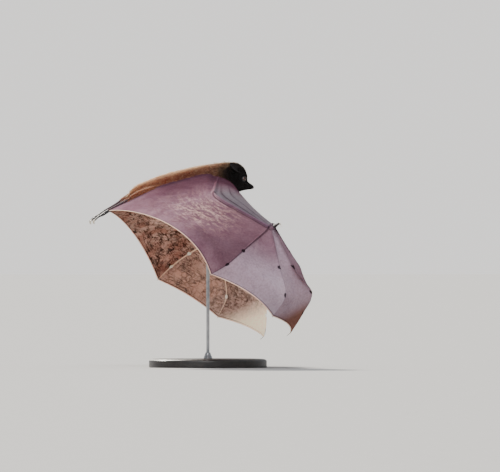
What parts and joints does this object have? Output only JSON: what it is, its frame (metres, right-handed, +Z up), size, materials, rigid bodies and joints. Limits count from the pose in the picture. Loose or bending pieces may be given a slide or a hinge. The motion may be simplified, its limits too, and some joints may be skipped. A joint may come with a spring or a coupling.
{
  "type": "flying fox bat model",
  "caption": "Life-size flying fox in level flight, wings curled down and in late in the downstroke, on a round base with a thin upright rod.",
  "frame": {"origin": "centre of the underside of the stand's base, on the floor", "axes": "+X the way the bat flies, +Y to its left, across the wings, +Z up"},
  "size_m": [0.4, 0.7236, 0.4106],
  "materials": {
    "head_fur": "short near-black fur",
    "mantle_fur": "dark red-brown fur",
    "back_fur": "golden brown fur, paler tips",
    "wing_skin": "thin wrinkled mauve skin, brown and veined underneath",
    "bone_skin": "dark skin drawn over slender bones",
    "bare_skin": "bare dark skin and horn",
    "eye_gloss": "wet dark brown",
    "black_wood": "dark satin wood",
    "steel": "brushed"
  },
  "bodies": {
    "root": {"head": "head_fur", "neck": "mantle_fur", "trunk": "back_fur", "ear_left": "bare_skin", "eye_left": "eye_gloss", "upper_arm_left": "mantle_fur", "forearm_left": "bone_skin", "finger_3_left": "bone_skin", "finger_4_left": "bone_skin", "finger_5_left": "bone_skin", "finger_2_left": "bone_skin", "thumb_left": "bare_skin", "thigh_left": "back_fur", "shank_left": "mantle_fur", "foot_left": "bare_skin", "arm_web_left": "wing_skin", "fore_web_left": "wing_skin", "web_5_4_left": "wing_skin", "web_4_3_left": "wing_skin", "web_3_2_left": "wing_skin", "tail_web_left": "wing_skin", "ear_right": "bare_skin", "eye_right": "eye_gloss", "upper_arm_right": "mantle_fur", "forearm_right": "bone_skin", "finger_3_right": "bone_skin", "finger_4_right": "bone_skin", "finger_5_right": "bone_skin", "finger_2_right": "bone_skin", "thumb_right": "bare_skin", "thigh_right": "back_fur", "shank_right": "mantle_fur", "foot_right": "bare_skin", "arm_web_right": "wing_skin", "fore_web_right": "wing_skin", "web_5_4_right": "wing_skin", "web_4_3_right": "wing_skin", "web_3_2_right": "wing_skin", "tail_web_right": "wing_skin", "stand_base": "black_wood", "stand_collar": "steel", "stand_rod": "steel"}
  },
  "joints": []
}
